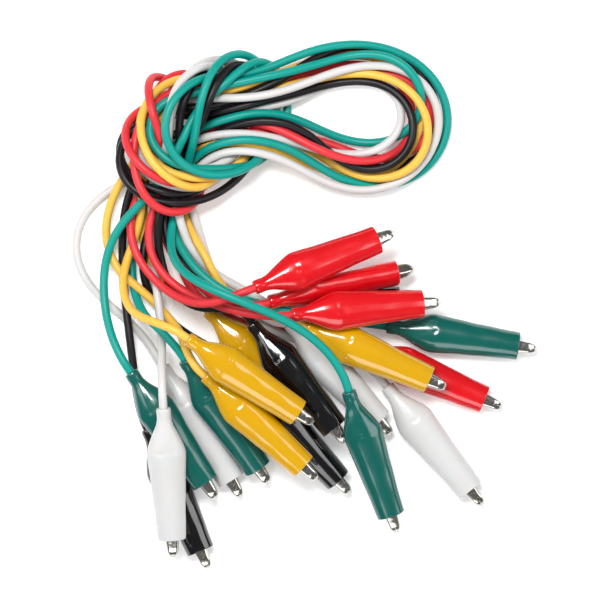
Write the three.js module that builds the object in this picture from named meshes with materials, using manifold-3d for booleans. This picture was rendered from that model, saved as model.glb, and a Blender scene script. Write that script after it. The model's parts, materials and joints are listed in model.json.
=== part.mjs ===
// Ten alligator clip leads in five colours, knotted together and laid on a table.
// Millimetres, +Z up. The origin is on the table, under the middle of the clips.
// Each lead is a flexible wire with a spring clip at both ends. A clip is a soft boot
// over a fixed jaw and a moving jaw that turns about a pin.
import * as THREE from "three";
import { mergeVertices } from "three/addons/utils/BufferGeometryUtils.js";
import Module from "manifold-3d";

const wasm = await Module();
wasm.setup();

// Wire
const WIRE_RADIUS = 1.2;
const WIRE_SIDES = 6;
const WIRE_STEPS = 66;
const WIRE_CLEARANCE = 0.14;
const CONDUCTOR_RADIUS = 0.5;

// Boot, in the clip's frame: X runs to the nose, Y is the pivot axis, +Z is the moving jaw's side,
// and the origin is on the pivot.
const NECK_X = -23;
const MOUTH_X = 15;
const BOOT_SIDES = 8;
const BOOT_FLAT = Math.cos(Math.PI / BOOT_SIDES);
const BOOT_WALL = 0.75;
const NECK_BORE = 1.6;
// One row for each section of the boot: place along X, half width in Z, half thickness in Y.
const BOOT_SECTIONS = [
  [NECK_X, 2.1, 2.1],
  [-19.5, 2.2, 2.2],
  [-10, 5.5, 3.4],
  [1, 4.7, 3.4],
  [MOUTH_X, 4.0, 3.4],
];

// Jaws
const JAW_SHEET = 0.5;
const JAW_HALF_WIDTH = 2.2;
const JAW_DEPTH = 2.4;
const HANDLE_HALF_WIDTH = 1.2;
const NOSE_HALF_WIDTH = 1.75;
const NOSE_X = 19;
const NOSE_DEPTH = 1.75;
const NOSE_CHAMFER = 0.8;
const NOSE_TIP_DROP = 0.6;
const SHOULDER_X = 5;
const JAW_GAP = 0.15;
const TOOTH_PITCH = 2.2;
const TOOTH_HEIGHT = 0.6;
const TOOTH_COUNT = 3;
const HANDLE_START_X = -0.6;
const HANDLE_X = -10.5;
const HANDLE_Z = 4;
const HANDLE_DEPTH = 1.2;
const PIN_RADIUS = 0.8;
const PIN_LENGTH = 4.6;
const PIN_CLEARANCE = 0.3;
const PIN_EYE = 3.5;
const PLAN_HEIGHT = 20;
const SPRING_RADIUS = 1.05;
const SPRING_WIRE = 0.4;
const SPRING_HALF_LENGTH = 1;
const CRIMP_LENGTH = 4;

const WIRE_ENTRY = 3;
const SEAT = 0.02;
const WIRE_SEAT = 0.05;

const COLOURS = {
  red: { wire: 0xf0464b, boot: 0xeb141e },
  green: { wire: 0x00b4a5, boot: 0x00735f },
  yellow: { wire: 0xffcd50, boot: 0xf5af00 },
  black: { wire: 0x2d282d, boot: 0x1e1c20 },
  white: { wire: 0xe8e4e4, boot: 0xe1e1e1 },
};
const LEADS = ["red_1", "red_2", "green_1", "green_2", "yellow_1", "yellow_2"].concat(
  ["black_1", "black_2", "white_1", "white_2"],
);
// The lead whose clips have every piece as a separate solid.
const OPEN_LEAD = "red_1";

// Where each clip lies, seen from above: the middle of its neck, its heading in degrees, the height
// it is dropped from, and its roll: 0 puts the moving jaw on the left of the heading.
const CLIPS = {
  red_1_a: { neck: [-9.1, -1.1], heading: 13, level: 0.5, roll: 60 },
  red_1_b: { neck: [-12.9, 2.9], heading: 21.5, level: 1.5, roll: 0 },
  red_2_a: { neck: [17.1, -13.1], heading: -23, level: 0, roll: 180 },
  red_2_b: { neck: [-2.9, -3.4], heading: 5, level: 2, roll: 0 },
  green_1_a: { neck: [24, -8], heading: -8.6, level: 1, roll: 0 },
  green_1_b: { neck: [12, -25.7], heading: -71, level: 1.4, roll: 180 },
  green_2_a: { neck: [-34.3, -17.1], heading: -56, level: 1.15, roll: 0 },
  green_2_b: { neck: [-47.7, -19.4], heading: -56, level: 1, roll: 180 },
  yellow_1_a: { neck: [0.9, -8], heading: -23.5, level: 1.1, roll: 180 },
  yellow_1_b: { neck: [-32.9, -11.4], heading: -34, level: 2.1, roll: 0 },
  yellow_2_a: { neck: [-27.7, -3.4], heading: -44, level: 0.3, roll: 0 },
  yellow_2_b: { neck: [-26.5, -20], heading: -43, level: 1.3, roll: 0 },
  black_1_a: { neck: [-15.1, -23.4], heading: -48, level: 0.4, roll: 0 },
  black_1_b: { neck: [-13.3, -5.4], heading: -51.5, level: 1.2, roll: 180 },
  black_2_a: { neck: [-42.9, -35.7], heading: -66.5, level: 0, roll: 0 },
  black_2_b: { neck: [-10, -0.4], heading: 3, level: 0, roll: 0 },
  white_1_a: { neck: [25.1, -23.4], heading: -51, level: 0, roll: 0 },
  white_1_b: { neck: [-38, -30], heading: -86.5, level: 2.2, roll: 180 },
  white_2_a: { neck: [-40, -18.6], heading: -59, level: 0.05, roll: 180 },
  white_2_b: { neck: [-3.1, -5.7], heading: -47.5, level: 0.2, roll: 180 },
};
const LEVEL_HEIGHT = 9;

// The knot, station by station along the ten wires. Each station is a line across them, from one
// outside wire's middle to the other's, the height of its lowest layer, and the wires in each
// layer, lowest layer first. A dash leaves a place empty.
const KNOT = [
  { from: [-46, 32], to: [-31, 27], z: 1.3, rows: ["w2 g2 k1 r2 y1", "k2 y2 r1 g1 w1"] },
  { from: [-33, 48], to: [-30.5, 40], z: 1.3, rows: ["k2 r1 r2 y1 y2", "g2 k1 w2 g1 w1"] },
  { from: [-14.3, 52.5], to: [-14.3, 43.6], z: 3.7, rows: ["k2 r1 r2 y1 y2", "g2 k1 w2 g1 w1"] },
  { from: [0, 49.3], to: [0, 40], z: 2.4, rows: ["k2 r2 y1 y2", "g2 k1 r1 w2 g1 w1"] },
  { from: [16.1, 44.9], to: [16.1, 34.3], z: 1.3, rows: ["g2 r2 k2 y2", "w2 r1 k1 y1 g1 w1"] },
  { from: [28.6, 46], to: [35.7, 38.3], z: 1.3, rows: ["g2 r1 k2 y2 g1", "w2 r2 k1 y1 w1"] },
  { from: [31.4, 50.7], to: [43.9, 52.6], z: 1.3, rows: ["w2 g2 r1 r2 k2 -", "k1 y1 y2 w1 g1"] },
  { from: [26.8, 58.6], to: [37.4, 66.4], z: 1.3, rows: ["w2 r2 r1 y2 k2 -", "k1 y1 w1 g2 g1"] },
  { from: [16.1, 61.8], to: [16.1, 73.2], z: 1.3, rows: ["w2 r2 y1 r1 y2 k2 -", "k1 w1 - g2 g1"] },
  { from: [0, 59.7], to: [0, 70.4], z: 2.4, rows: ["w2 r2 y1 r1 y2 k2 -", "k1 w1 - g2 g1"] },
  { from: [-14.3, 57.4], to: [-14.3, 66.8], z: 3.7, rows: ["w2 r2 r1 y2 k2 -", "k1 w1 y1 g2 g1"] },
  { from: [-27, 55.5], to: [-27, 63], z: 3.7, rows: ["w2 r2 r1", "k1 k2 y2 y1", "w1 g2 g1"] },
  { from: [-37, 57], to: [-37, 60.5], z: 3.7, rows: ["w2 w1", "k2 k1", "r1 r2", "y1 y2", "g2 g1"] },
  { from: [-48, 57], to: [-43.5, 53.5], z: 3, rows: ["k1 w1 w2", "k2 r1 y2 g2", "r2 y1 g1"] },
  { from: [-53, 45], to: [-42, 50], z: 5, rows: ["k1 w1 w2 g2", "k2 r1 r2 y1 y2 g1"] },
  { from: [-49, 34.5], to: [-39, 46], z: 9, rows: ["- k2 k1 w1 w2 g2", "r1 r2 y1 y2 g1"] },
  { from: [-42.5, 29], to: [-34, 41.5], z: 9, rows: ["- k2 k1 w1 w2 g2", "r1 r2 y1 y2 g1"] },
  { from: [-34, 26.5], to: [-27, 38], z: 6, rows: ["- k2 k1 w1 w2 g2", "r1 r2 y1 y2 g1"] },
  { from: [-28, 30], to: [-8.5, 42], z: 1.3, rise: 1.5, rows: ["r1 k1 w1 w2 k2 g2", "r2 y1 y2 g1 -"] },
  { from: [-28.5, 48], to: [-5.8, 49], z: 1.25, rows: ["r1 r2 k1 w1 y1 y2 w2 k2 g1 g2"] },
  { from: [-29.5, 56], to: [-6.5, 57], z: 1.25, rows: ["r1 r2 k1 w1 y1 y2 w2 k2 g1 g2"] },
  { from: [-34, 60], to: [-9, 65], z: 1.25, rows: ["r1 r2 y1 k1 w1 y2 w2 g1 k2 g2"] },
  { from: [-38, 63], to: [-12, 70], z: 5.2, bow: 3.2, rows: ["r1 r2 y1 y2 k1 w1 w2 g1 k2 g2"] },
  { from: [-40.3, 59], to: [-19, 68], z: 9.5, bow: 1, rows: ["r1 r2 y1 y2 w1 k1 w2 g1 k2 g2"] },
  { from: [-40, 55.5], to: [-30.3, 57], z: 8.4, rows: ["r2 y2 w2 k1 g2", "r1 y1 w1 g1 k2"] },
  { from: [-39.8, 48.5], to: [-32.5, 48], z: 6, rows: ["r2 y2 k1", "y1 w2 g2", "r1 w1 g1 k2"] },
  { from: [-42, 40.5], to: [-35, 38.5], z: 5.8, rows: ["y2 w1 w2 k2", "r1 y1 r2 g1", "g2 k1"] },
  { from: [-47, 31], to: [-34.5, 26.5], z: 6, rows: ["y2 y1 w1 k2 w2", "g2 r1 r2 k1 g1"] },
];
const ROW_HEIGHT = 2.2;

// The wires' ends between the knot and the necks: points seen from above, and the height that the
// stretch is dropped from.
const TAILS = {
  red_1_a: { z: 2, via: [[-38, 18], [-30, 8], [-20, 0]] },
  red_1_b: {
    z: 11,
    via: [[-48.5, 25], [-49.2, 17], [-47.5, 10.9], [-44.5, 5.1], [-39.4, 1.1], [-33, -1.3], [-26, -1.2]],
  },
  red_2_a: { z: 2, via: [[-37, 16], [-29, 4], [-16, -6.5], [0, -10]] },
  red_2_b: {
    z: 12.5,
    via: [[-46, 24], [-45, 17.5], [-40.6, 10.5], [-33.1, 4.2], [-24.4, 0.2], [-15, -3.2]],
  },
  green_1_a: { z: 9, via: [[-39, 16], [-33, 8], [-25, 3.1], [-16, -1], [-4, -5.5], [8, -6.5]] },
  green_1_b: {
    z: 25,
    via: [[-38.6, 20.3], [-35, 14.6], [-29.1, 9.4], [-21.7, 4.8], [-14, 0.8], [-6.3, -4], [0.5, -9.6], [6.5, -16]],
  },
  green_2_a: { z: 4.5, via: [[-46.5, 18], [-47.7, 4], [-44.8, -5]] },
  green_2_b: { z: 8, via: [[-54.2, 24], [-56.6, 16], [-57, 7], [-55.6, -2]] },
  yellow_1_a: { z: 6, via: [[-34, 19], [-29, 10], [-19, 2.5], [-8, -3.5]] },
  yellow_1_b: { z: 9.5, via: [[-51, 22.9], [-53, 16.5], [-52.6, 9.5], [-50, 3.5], [-45.2, -2]] },
  yellow_2_a: { z: 2, via: [[-45, 20], [-43.5, 9], [-37, 3]] },
  yellow_2_b: { z: 7, via: [[-54, 26.5], [-56.2, 18], [-55, 9], [-51.5, 2], [-45.5, -4.5], [-38.5, -10.5]] },
  black_1_a: { z: 3.5, via: [[-45.5, 18], [-43, 7.5], [-38, -2], [-31.7, -9.5], [-24, -15]] },
  black_1_b: { z: 8.5, via: [[-43, 20], [-41, 13], [-36.5, 6], [-29.7, 1], [-22, -1.5]] },
  black_2_a: { z: 2.5, via: [[-48, 20], [-50.3, 10], [-50.4, -2], [-49, -14], [-48, -23]] },
  black_2_b: { z: 5, via: [[-38, 18], [-32, 8], [-24, 1.5], [-17, -0.4]] },
  white_1_a: { z: 2, via: [[-33, 17], [-24, 5], [-12, -4], [2, -13], [14, -18.5]] },
  white_1_b: { z: 8, via: [[-42.4, 20], [-41.8, 9], [-41, -3], [-39.2, -15]] },
  white_2_a: { z: 1.5, via: [[-54.6, 34], [-61.5, 25], [-63.6, 16], [-61.8, 9.5], [-57.5, 3], [-50, -4]] },
  white_2_b: { z: 6, via: [[-37, 22], [-34, 16.5], [-27, 10.6], [-19.1, 6.4], [-12, 1.5]] },
};

// Settling: how the wires and clips come to rest on the table and on each other.
const CLIP_ROUNDS = 500;
const ROUNDS = 600;
const CLEAN_ROUNDS = 400;
const NEAR_LIST_ROUNDS = 10;
const NEAR = 6;
const FALL = 0.05;
const BEND_STIFFNESS = 0.12;
const BEND_LIMIT = 0.35;
const GUIDE_PULL = 0.03;
const HEIGHT_PULL = 0.02;
const NOSE_FALL = 0.06;
const TILT_LIMIT = 8;
const SHIFT_LIMIT = 1.2;
const SHIFT_STEP = 0.004;
const CLIP_CLEARANCE = 0.3;
const CLIP_REACH = 7.6;
const CLIP_LIFT_LIMIT = 0.4;
const NECK_LIFT_LIMIT = 0.1;
const WIRE_LIFT_LIMIT = 0.004;
const WIRE_UNDER = 0.5;
const WIRE_PRESSED = 1.5 * WIRE_RADIUS;
const BALL_PITCH = 2;

const radians = THREE.MathUtils.degToRad;
const lerp = THREE.MathUtils.lerp;

// ---------------------------------------------------------------- clip's shape

// The boot's half width and half thickness at a place along X.
function bootSize(x) {
  for (let i = 1; i < BOOT_SECTIONS.length; i++) {
    const [x0, w0, t0] = BOOT_SECTIONS[i - 1];
    const [x1, w1, t1] = BOOT_SECTIONS[i];
    if (x <= x1 || i === BOOT_SECTIONS.length - 1) {
      const t = THREE.MathUtils.clamp((x - x0) / (x1 - x0), 0, 1);
      return { width: lerp(w0, w1, t), thickness: lerp(t0, t1, t) };
    }
  }
}

function toSolid(geometry) {
  const plain = geometry.index ? geometry.toNonIndexed() : geometry.clone();
  plain.deleteAttribute("normal");
  plain.deleteAttribute("uv");
  const merged = mergeVertices(plain, 1e-4);
  const mesh = new wasm.Mesh({
    numProp: 3,
    vertProperties: merged.attributes.position.array,
    triVerts: new Uint32Array(merged.index.array),
  });
  return new wasm.Manifold(mesh);
}

function toGeometry(solid) {
  const mesh = solid.getMesh();
  const geometry = new THREE.BufferGeometry();
  geometry.setAttribute("position", new THREE.BufferAttribute(mesh.vertProperties, mesh.numProp));
  geometry.setIndex(new THREE.BufferAttribute(mesh.triVerts, 1));
  geometry.computeVertexNormals();
  return geometry;
}

// A soft boot: a tube of changing section, open at its mouth and with a small bore at its neck.
function bootGeometry() {
  const outer = BOOT_SECTIONS.map(([x, width]) => new THREE.Vector2(width, x));
  const inner = BOOT_SECTIONS.map(([x, width], i) => new THREE.Vector2(i < 2 ? NECK_BORE : width - BOOT_WALL, x));
  inner.reverse();
  const profile = [...outer, ...inner, outer[0].clone()];
  const geometry = new THREE.LatheGeometry(profile, BOOT_SIDES, Math.PI / BOOT_SIDES);
  const position = geometry.attributes.position;
  for (let i = 0; i < position.count; i++) {
    const along = position.getY(i);
    const size = bootSize(along);
    const across = position.getX(i) / BOOT_FLAT;
    const thick = (position.getZ(i) / BOOT_FLAT) * (size.thickness / size.width);
    position.setXYZ(i, along, thick, across);
  }
  return geometry;
}

// The side view of one jaw, on the +Z side, with its teeth on the parting line.
function jawOutline(handleZ) {
  const outline = new THREE.Shape();
  outline.moveTo(HANDLE_X, handleZ - HANDLE_DEPTH);
  outline.lineTo(HANDLE_START_X, JAW_GAP);
  outline.lineTo(PIN_EYE, JAW_GAP);
  for (let i = 0; i < TOOTH_COUNT; i++) {
    outline.lineTo(NOSE_X - 1 - (TOOTH_COUNT - i - 0.5) * TOOTH_PITCH, JAW_GAP + TOOTH_HEIGHT);
    outline.lineTo(NOSE_X - 1 - (TOOTH_COUNT - i - 1) * TOOTH_PITCH, JAW_GAP);
  }
  outline.lineTo(NOSE_X, JAW_GAP);
  outline.lineTo(NOSE_X, NOSE_DEPTH - NOSE_TIP_DROP);
  outline.lineTo(NOSE_X - NOSE_CHAMFER, NOSE_DEPTH);
  outline.lineTo(SHOULDER_X, JAW_DEPTH);
  outline.lineTo(-SHOULDER_X, JAW_DEPTH);
  outline.lineTo(HANDLE_X, handleZ);
  return outline;
}

function extrudeAcross(shape, halfWidth) {
  const geometry = new THREE.ExtrudeGeometry(shape, { depth: 2 * halfWidth, bevelEnabled: false });
  geometry.translate(0, 0, -halfWidth);
  geometry.rotateX(Math.PI / 2);
  return geometry;
}

// The jaw's plan, narrowing to its nose and to the end of its handle, as a tall prism.
function planPrism(wall) {
  const plan = [
    [HANDLE_X - 2, HANDLE_HALF_WIDTH - wall],
    [HANDLE_X, HANDLE_HALF_WIDTH - wall],
    [0, JAW_HALF_WIDTH - wall],
    [NOSE_X, NOSE_HALF_WIDTH - wall],
  ];
  const outline = new THREE.Shape();
  outline.moveTo(plan[0][0], -plan[0][1]);
  for (const [x, halfWidth] of plan.slice(1)) outline.lineTo(x, -halfWidth);
  for (const [x, halfWidth] of plan.slice().reverse()) outline.lineTo(x, halfWidth);
  const prism = new THREE.ExtrudeGeometry(outline, { depth: PLAN_HEIGHT, bevelEnabled: false });
  prism.translate(0, 0, -PLAN_HEIGHT / 2);
  return toSolid(prism);
}

// A jaw pressed from sheet: a channel that is open towards the other jaw.
function jawSolid(handleZ, pinHole) {
  const body = toSolid(extrudeAcross(jawOutline(handleZ), JAW_HALF_WIDTH + 1)).intersect(planPrism(0));
  const hollow = new THREE.Shape();
  const hollowNose = NOSE_X - JAW_SHEET - NOSE_TIP_DROP;
  hollow.moveTo(HANDLE_X - 1, handleZ - HANDLE_DEPTH - 0.4);
  hollow.lineTo(-3, -1);
  hollow.lineTo(hollowNose, -1);
  hollow.lineTo(hollowNose, NOSE_DEPTH - JAW_SHEET - 0.4);
  hollow.lineTo(SHOULDER_X, JAW_DEPTH - JAW_SHEET);
  hollow.lineTo(-SHOULDER_X, JAW_DEPTH - JAW_SHEET);
  hollow.lineTo(HANDLE_X - 1, handleZ - JAW_SHEET);
  const inside = toSolid(extrudeAcross(hollow, JAW_HALF_WIDTH + 1)).intersect(planPrism(JAW_SHEET));
  let solid = body.subtract(inside);
  if (pinHole) {
    const drill = new THREE.CylinderGeometry(PIN_RADIUS + PIN_CLEARANCE, PIN_RADIUS + PIN_CLEARANCE, 8, 8);
    solid = solid.subtract(toSolid(drill));
  }
  return solid;
}

function bootedJawGeometry() {
  const reach = BOOT_SECTIONS[2][1] - BOOT_WALL / 2;
  const fixedJaw = toGeometry(jawSolid(reach, false));
  fixedJaw.rotateX(Math.PI);
  return toGeometry(toSolid(bootGeometry()).add(toSolid(fixedJaw)));
}

// ---------------------------------------------------------------- the clips' places

function makeClip(name) {
  const { neck, heading, level, roll } = CLIPS[name];
  const angle = radians(heading);
  const along = new THREE.Vector3(Math.cos(angle), Math.sin(angle), 0);
  const side = new THREE.Vector3(-along.y, along.x, 0);
  const turn = radians(roll);
  const height = BOOT_SECTIONS[2][1] + level * LEVEL_HEIGHT;
  const clip = { name, neck, along, side, level, roll, height, shift: 0, neckZ: height, noseZ: height, balls: [] };
  for (let x = NECK_X; x <= NOSE_X; x += BALL_PITCH) {
    const size = x > MOUTH_X ? { width: NOSE_DEPTH, thickness: NOSE_HALF_WIDTH } : bootSize(x);
    const offset = size.width - size.thickness;
    for (const sign of offset > 0.1 ? [-1, 1] : [0]) {
      clip.balls.push({
        t: (x - NECK_X) / (NOSE_X - NECK_X),
        across: sign * offset * Math.cos(turn),
        up: sign * offset * Math.sin(turn),
        radius: size.thickness,
        at: new THREE.Vector3(),
      });
    }
  }
  placeBalls(clip);
  return clip;
}

// The plan length of a clip shrinks a little as it tilts.
function clipRun(clip) {
  const length = NOSE_X - NECK_X;
  const rise = THREE.MathUtils.clamp(clip.noseZ - clip.neckZ, -0.6 * length, 0.6 * length);
  return Math.sqrt(length * length - rise * rise);
}

function clipPoint(clip, t, target = new THREE.Vector3()) {
  const run = clipRun(clip) * t;
  return target.set(
    clip.neck[0] + clip.along.x * run + clip.side.x * clip.shift,
    clip.neck[1] + clip.along.y * run + clip.side.y * clip.shift,
    lerp(clip.neckZ, clip.noseZ, t),
  );
}

function placeBalls(clip) {
  for (const ball of clip.balls) {
    clipPoint(clip, ball.t, ball.at);
    ball.at.addScaledVector(clip.side, ball.across);
    ball.at.z += ball.up;
  }
}

function updateHeight(clip, ball) {
  ball.at.z = lerp(clip.neckZ, clip.noseZ, ball.t) + ball.up;
}

// A clip's stiff wire holds its neck down, so it can't tilt far.
function limitTilt(clip) {
  const tilt = clip.noseZ - clip.neckZ;
  const spare = (Math.abs(tilt) - TILT_LIMIT) / 2;
  if (spare > 0) {
    clip.neckZ += Math.sign(tilt) * spare;
    clip.noseZ -= Math.sign(tilt) * spare;
  }
}

// Raise or lower a clip by a push at one place along it.
function pushClip(clip, t, dz) {
  const near = 1 - t;
  const scale = dz / (near * near + t * t);
  clip.neckZ += near * scale;
  clip.noseZ += t * scale;
}

// ---------------------------------------------------------------- the wires' routes

const WIRE_KEYS = { r: "red", g: "green", y: "yellow", k: "black", w: "white" };

function leadOfKey(key) {
  return WIRE_KEYS[key[0]] + "_" + key[1];
}

// A lead's points through the knot.
function knotPoints(lead) {
  return KNOT.map((station) => {
    const holds = (row) => row.split(" ").some((key) => key !== "-" && leadOfKey(key) === lead);
    const rowIndex = station.rows.findIndex(holds);
    const keys = station.rows[rowIndex].split(" ");
    const place = keys.findIndex((key) => key !== "-" && leadOfKey(key) === lead);
    const longest = Math.max(...station.rows.map((row) => row.split(" ").length));
    const inset = keys.length < longest ? 0.5 / (longest - 1) : 0;
    const t = keys.length > 1 ? lerp(inset, 1 - inset, place / (keys.length - 1)) : 0.5;
    const bow = (station.bow || 0) * 4 * t * (1 - t);
    return new THREE.Vector3(
      lerp(station.from[0], station.to[0], t),
      lerp(station.from[1], station.to[1], t) + bow,
      station.z + rowIndex * ROW_HEIGHT + (station.rise || 0) * t,
    );
  });
}

// The two points that hold a wire in line with its clip: inside the neck and outside it.
function neckPoints(clip, step) {
  const length = NOSE_X - NECK_X;
  return [WIRE_ENTRY / length, (WIRE_ENTRY - step) / length].map((t) => clipPoint(clip, t));
}

function tailPoints(name, clip) {
  const { z, via } = TAILS[name];
  const [inside, outside] = neckPoints(clip, WIRE_ENTRY + 4);
  return [...via.map(([x, y]) => new THREE.Vector3(x, y, z)), outside, inside];
}

function makeWire(lead, clips) {
  const first = clips.get(lead + "_a");
  const last = clips.get(lead + "_b");
  const points = [
    ...tailPoints(lead + "_a", first).reverse(),
    ...knotPoints(lead),
    ...tailPoints(lead + "_b", last),
  ];
  const curve = new THREE.CatmullRomCurve3(points, false, "centripetal");
  curve.arcLengthDivisions = 2000;
  const length = curve.getLength();
  const nodes = curve.getSpacedPoints(WIRE_STEPS);
  const tailHeights = [TAILS[lead + "_a"].z, TAILS[lead + "_b"].z];
  return { lead, nodes, guide: nodes.map((p) => p.clone()), step: length / WIRE_STEPS, first, last, tailHeights };
}

function holdEnds(wire) {
  const n = wire.nodes.length;
  const [in0, out0] = neckPoints(wire.first, wire.step);
  const [in1, out1] = neckPoints(wire.last, wire.step);
  wire.nodes[0].copy(in0);
  wire.nodes[1].copy(out0);
  wire.nodes[n - 1].copy(in1);
  wire.nodes[n - 2].copy(out1);
}

// ---------------------------------------------------------------- settling

// The nearest points of two segments, as their shares s and t along them.
function nearestShares(p1, q1, p2, q2) {
  const d1x = q1.x - p1.x, d1y = q1.y - p1.y, d1z = q1.z - p1.z;
  const d2x = q2.x - p2.x, d2y = q2.y - p2.y, d2z = q2.z - p2.z;
  const rx = p1.x - p2.x, ry = p1.y - p2.y, rz = p1.z - p2.z;
  const a = d1x * d1x + d1y * d1y + d1z * d1z;
  const e = d2x * d2x + d2y * d2y + d2z * d2z;
  const f = d2x * rx + d2y * ry + d2z * rz;
  const c = d1x * rx + d1y * ry + d1z * rz;
  const b = d1x * d2x + d1y * d2y + d1z * d2z;
  const denominator = a * e - b * b;
  const clamp = THREE.MathUtils.clamp;
  let s = denominator > 1e-9 ? clamp((b * f - c * e) / denominator, 0, 1) : 0.5;
  let t = (b * s + f) / e;
  if (t < 0 || t > 1) {
    t = clamp(t, 0, 1);
    s = clamp((b * t - c) / a, 0, 1);
  }
  return [s, t];
}

const gapVector = new THREE.Vector3();
const pointA = new THREE.Vector3();
const pointB = new THREE.Vector3();

// The clip that holds a stretch of wire, if it is one of the wire's two ends.
function clipAtEnd(wire, i) {
  if (i < 2) return wire.first;
  return i > WIRE_STEPS - 3 ? wire.last : null;
}

// Two wires move apart. Where clips hold both of them, the upper one's clip is lifted by its neck.
function separateWires(wireA, i, wireB, j, distance) {
  const a0 = wireA.nodes[i];
  const a1 = wireA.nodes[i + 1];
  const b0 = wireB.nodes[j];
  const b1 = wireB.nodes[j + 1];
  const [s, t] = nearestShares(a0, a1, b0, b1);
  pointA.lerpVectors(a0, a1, s);
  pointB.lerpVectors(b0, b1, t);
  gapVector.subVectors(pointA, pointB);
  let gap = gapVector.length();
  if (gap >= distance) return;
  if (gap < 1e-4) {
    gapVector.set(0, 0, 1);
    gap = 1;
  }
  const clipA = clipAtEnd(wireA, i);
  const clipB = clipAtEnd(wireB, j);
  if (clipA && clipB) pushClip(gapVector.z > 0 ? clipA : clipB, 0, Math.min(distance - gap, NECK_LIFT_LIMIT));
  const weight = (1 - s) ** 2 + s ** 2 + (1 - t) ** 2 + t ** 2;
  gapVector.multiplyScalar((distance - gap) / gap / weight);
  a0.addScaledVector(gapVector, 1 - s);
  a1.addScaledVector(gapVector, s);
  b0.addScaledVector(gapVector, t - 1);
  b1.addScaledVector(gapVector, -t);
}

// A wire moves away from a clip: over it if it was dropped from higher than the clip was, and
// otherwise under it. A wire that is under a clip also lifts it, most of all on the table, and a
// stretch that its own clip holds lifts whichever of the two clips is the upper one.
function separateWireFromBall(wire, i, clip, ball, distance) {
  const a0 = wire.nodes[i];
  const a1 = wire.nodes[i + 1];
  updateHeight(clip, ball);
  gapVector.subVectors(a1, a0);
  pointB.subVectors(ball.at, a0);
  const s = THREE.MathUtils.clamp(pointB.dot(gapVector) / gapVector.lengthSq(), 0, 1);
  pointA.lerpVectors(a0, a1, s);
  gapVector.subVectors(pointA, ball.at);
  const gap = gapVector.length();
  if (gap >= distance || gap < 1e-4) return;
  const over = wire.tailHeights[i < WIRE_STEPS / 2 ? 0 : 1] > clip.height;
  gapVector.z = over ? Math.abs(gapVector.z) : -Math.abs(gapVector.z);
  const holder = clipAtEnd(wire, i);
  if (holder) {
    pushClip(over ? holder : clip, over ? 0 : ball.t, Math.min(distance - gap, WIRE_LIFT_LIMIT));
  } else if (gapVector.z < -WIRE_UNDER * gap) {
    const limit = pointA.z < WIRE_PRESSED ? CLIP_LIFT_LIMIT : WIRE_LIFT_LIMIT;
    pushClip(clip, ball.t, Math.min((distance - gap) / 2, limit));
  }
  const weight = (1 - s) ** 2 + s ** 2;
  gapVector.multiplyScalar((distance - gap) / gap / weight);
  a0.addScaledVector(gapVector, 1 - s);
  a1.addScaledVector(gapVector, s);
}

function shiftClip(clip, away) {
  const push = Math.sign(away.dot(clip.side)) * SHIFT_STEP;
  clip.shift = THREE.MathUtils.clamp(clip.shift + push, -SHIFT_LIMIT, SHIFT_LIMIT);
}

function liftClip(clip, ball, lift) {
  pushClip(clip, ball.t, Math.min(lift, CLIP_LIFT_LIMIT));
}

// Of two clips that touch, the one with the higher level is lifted, and both slide apart a little.
function separateClips(clipA, ballA, clipB, ballB) {
  const distance = ballA.radius + ballB.radius + CLIP_CLEARANCE;
  updateHeight(clipA, ballA);
  updateHeight(clipB, ballB);
  gapVector.subVectors(ballA.at, ballB.at);
  const across = gapVector.x ** 2 + gapVector.y ** 2;
  if (across >= distance * distance) return;
  const needed = Math.sqrt(distance * distance - across);
  const rise = (clipA.level > clipB.level ? 1 : -1) * gapVector.z;
  if (rise >= needed) return;
  shiftClip(clipA, gapVector);
  shiftClip(clipB, gapVector.negate());
  if (clipA.level > clipB.level) liftClip(clipA, ballA, needed - rise);
  else liftClip(clipB, ballB, needed - rise);
}

function nearPairs(wires, clips) {
  const wirePairs = [];
  const ballPairs = [];
  const clipPairs = [];
  wires.forEach((wireA, a) => {
    for (let b = a; b < wires.length; b++) {
      const wireB = wires[b];
      for (let i = 0; i < WIRE_STEPS; i++) {
        for (let j = a === b ? i + 3 : 0; j < WIRE_STEPS; j++) {
          const reach = (wireA.step + wireB.step) / 2 + NEAR;
          if (wireA.nodes[i].distanceToSquared(wireB.nodes[j]) < reach * reach) {
            wirePairs.push([wireA, i, wireB, j]);
          }
        }
      }
    }
    for (const clip of clips) {
      for (const ball of clip.balls) {
        for (let i = 0; i < WIRE_STEPS; i++) {
          const own = (clip === wireA.first && i < 2) || (clip === wireA.last && i > WIRE_STEPS - 3);
          const reach = wireA.step + ball.radius + NEAR;
          if (!own && wireA.nodes[i].distanceToSquared(ball.at) < reach * reach) {
            ballPairs.push([wireA, i, clip, ball]);
          }
        }
      }
    }
  });
  clips.forEach((clipA, a) => {
    for (let b = a + 1; b < clips.length; b++) {
      for (const ballA of clipA.balls) {
        for (const ballB of clips[b].balls) {
          if (ballA.at.distanceToSquared(ballB.at) < (CLIP_REACH + NEAR) ** 2) {
            clipPairs.push([clipA, ballA, clips[b], ballB]);
          }
        }
      }
    }
  });
  return { wirePairs, ballPairs, clipPairs };
}

function keepLength(wire) {
  for (let i = 0; i < WIRE_STEPS; i++) {
    const a = wire.nodes[i];
    const b = wire.nodes[i + 1];
    gapVector.subVectors(b, a);
    const length = gapVector.length();
    gapVector.multiplyScalar((0.5 * (length - wire.step)) / length);
    a.add(gapVector);
    b.sub(gapVector);
  }
}

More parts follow.
